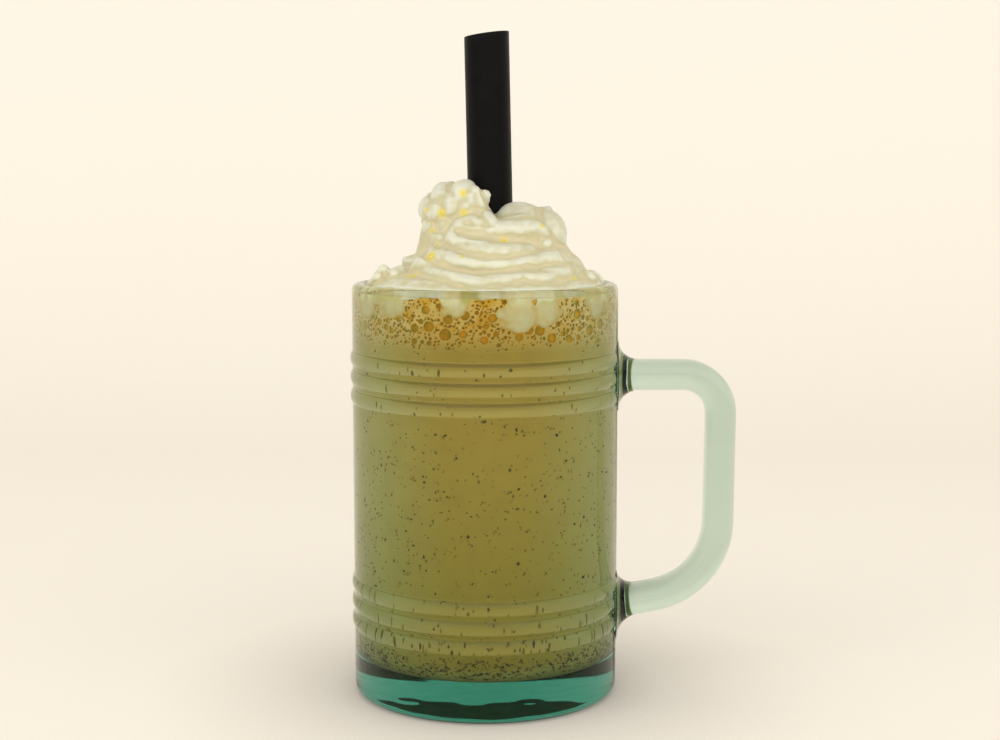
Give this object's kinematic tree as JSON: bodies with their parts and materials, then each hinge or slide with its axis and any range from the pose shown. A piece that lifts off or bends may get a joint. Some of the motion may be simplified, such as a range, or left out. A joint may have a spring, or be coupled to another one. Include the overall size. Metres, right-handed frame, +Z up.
{
  "type": "milkshake in a glass mug",
  "caption": "Ribbed glass mug with a handle, filled with a speckled milkshake and topped with a piped swirl of whipped cream and a wide straw.",
  "frame": {"origin": "centre of the mug's flat underside, on the mug's axis", "axes": "+Z up along the mug's axis, +X towards the handle, +Y away from the viewer of the picture"},
  "size_m": [0.105, 0.0732, 0.1789],
  "materials": {
    "glass": "clear, pale green in its thickness",
    "drink": "opaque, wet, with dark specks and foam at the top",
    "cream": "soft satin",
    "straw": "satin black"
  },
  "bodies": {
    "root": {"glass_mug": "glass", "drink": "drink", "cream": "cream", "straw": "straw"}
  },
  "joints": []
}
